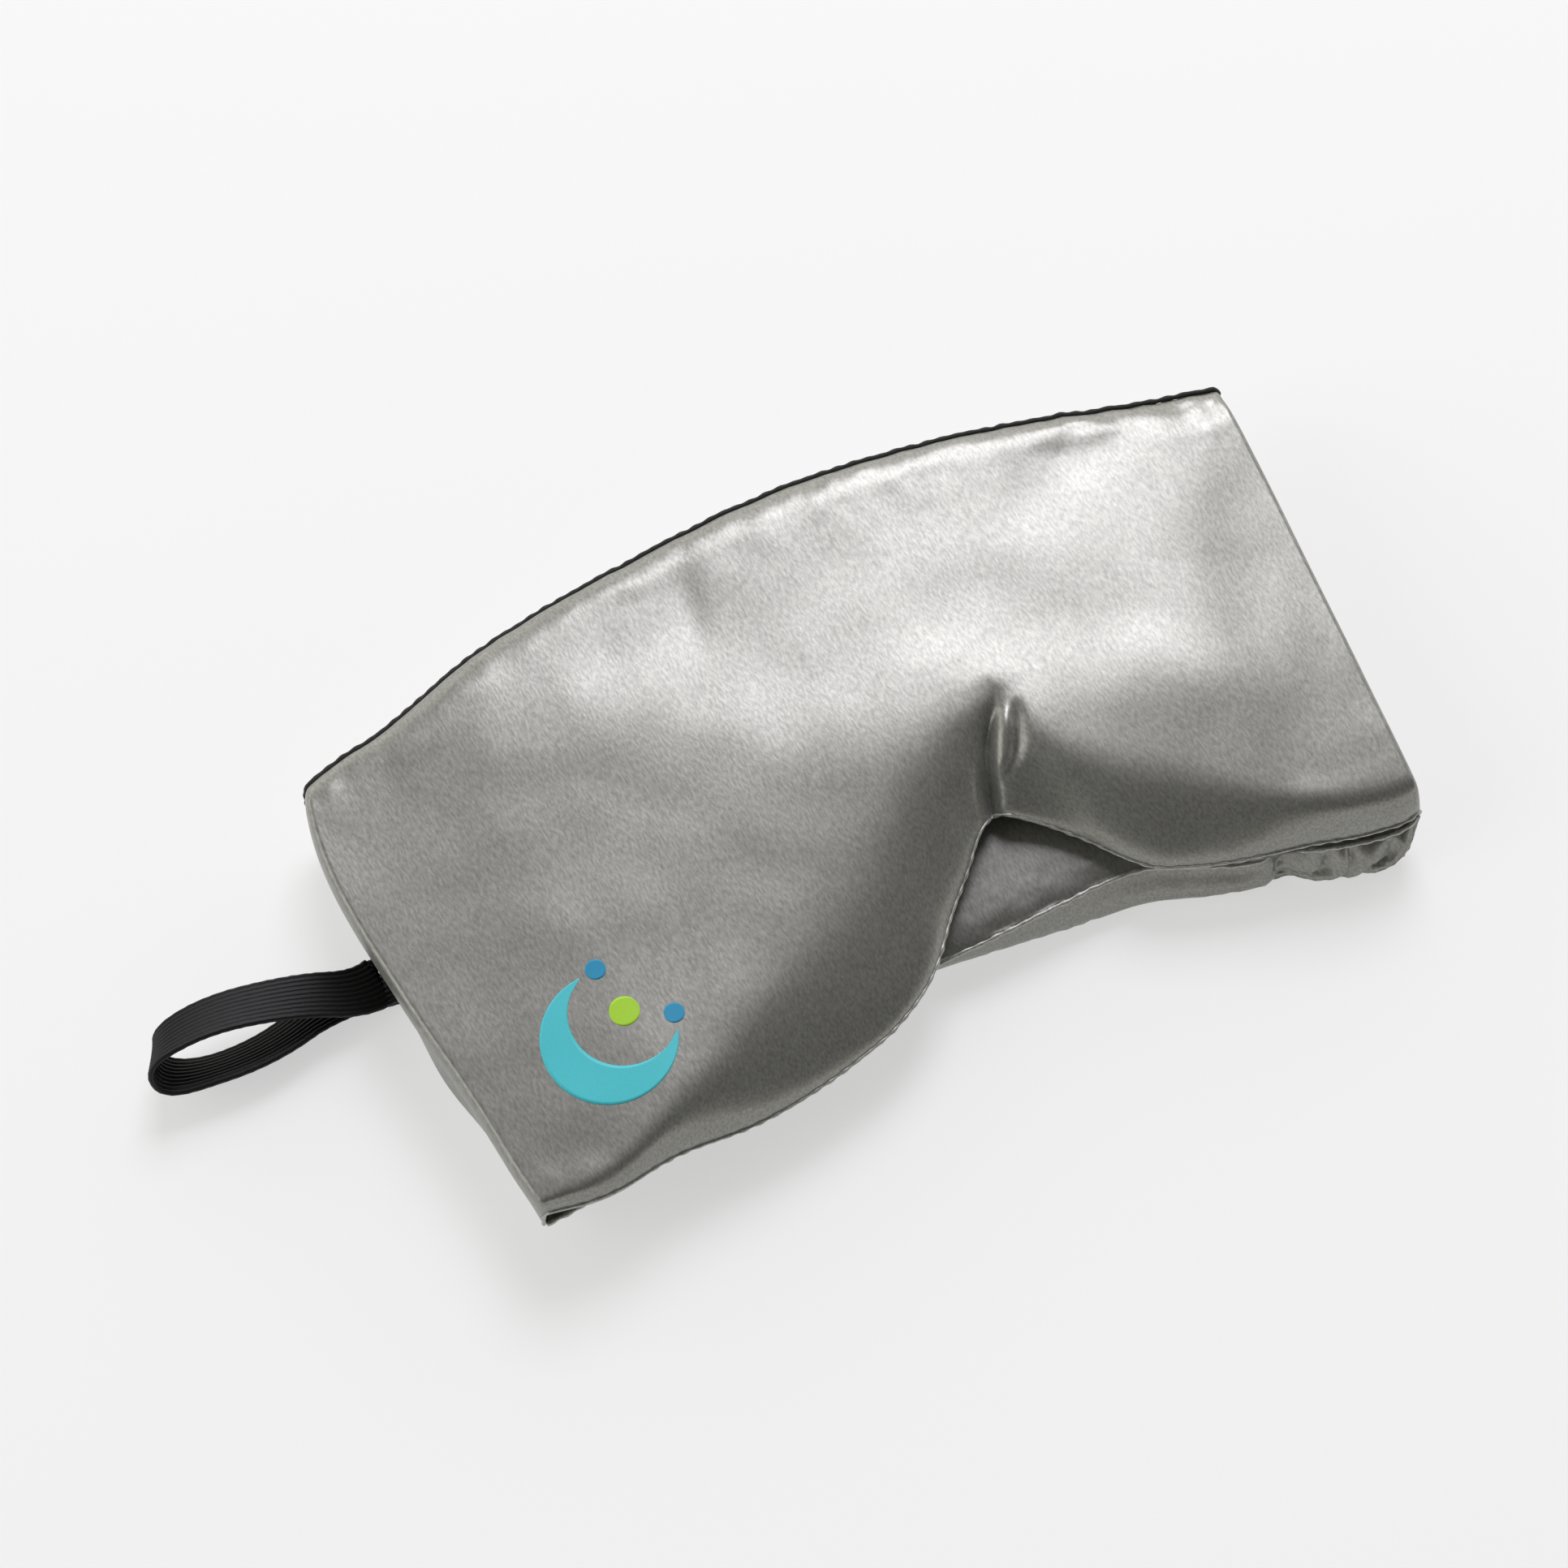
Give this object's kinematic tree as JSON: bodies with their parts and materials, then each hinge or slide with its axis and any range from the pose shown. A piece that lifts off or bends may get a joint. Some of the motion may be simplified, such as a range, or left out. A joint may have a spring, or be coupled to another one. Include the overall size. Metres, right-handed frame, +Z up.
{
  "type": "padded sleep mask",
  "caption": "Padded satin wrap-around sleep mask with a nose notch and a flat elastic strap, folded with both wings under the centre panel.",
  "frame": {"origin": "middle of the folded mask's box without the strap, on the surface it lies on", "axes": "+X along the folded mask from the strap loop's end to the other, +Y to the forehead edge, +Z up out of the printed face"},
  "size_m": [0.2397, 0.1138, 0.0212],
  "materials": {
    "outer_satin": "silver-grey satin with a soft sheen",
    "face_satin": "darker grey smooth satin",
    "blackout_lining": "matt black close weave",
    "wadding": "soft white polyester wadding",
    "seam_thread": "turned and stitched edge, grey",
    "elastic": "black ribbed braided elastic",
    "bartack_thread": "black dense zigzag stitches",
    "print_teal": "flat teal screen print",
    "print_lime": "flat lime screen print"
  },
  "bodies": {
    "centre": {"centre_face_satin": "face_satin", "centre_wadding": "wadding", "centre_blackout_lining": "blackout_lining", "centre_outer_satin": "outer_satin", "centre_cheek_seam": "seam_thread", "centre_forehead_seam": "seam_thread", "left_fold_wadding": "wadding", "left_fold_satin": "outer_satin", "right_fold_wadding": "wadding", "right_fold_satin": "outer_satin", "print_crescent": "print_teal", "print_dots": "print_lime", "strap_left_end": "elastic", "strap_loop": "elastic", "strap_right_end": "elastic"},
    "left_wing": {"left_wing_face_satin": "face_satin", "left_wing_wadding": "wadding", "left_wing_blackout_lining": "blackout_lining", "left_wing_outer_satin": "outer_satin", "left_wing_edge_seam": "seam_thread", "left_strap_bartack": "bartack_thread"},
    "right_wing": {"right_wing_face_satin": "face_satin", "right_wing_wadding": "wadding", "right_wing_blackout_lining": "blackout_lining", "right_wing_outer_satin": "outer_satin", "right_wing_edge_seam": "seam_thread", "right_strap_bartack": "bartack_thread"}
  },
  "joints": [
    {"name": "left_fold", "type": "hinge", "parent": "centre", "child": "left_wing", "pos_m": [-0.08143, -0.05279, 0.0105], "axis": [-0.0613, 0.9981, 0], "range_deg": [0, 175], "deforming": ["left_fold_wadding", "left_fold_satin", "strap_left_end", "strap_loop"]},
    {"name": "right_fold", "type": "hinge", "parent": "centre", "child": "right_wing", "pos_m": [0.07707, -0.05579, 0.0105], "axis": [-0.1073, -0.9942, 0], "range_deg": [0, 175], "deforming": ["right_fold_wadding", "right_fold_satin", "strap_right_end"]}
  ]
}
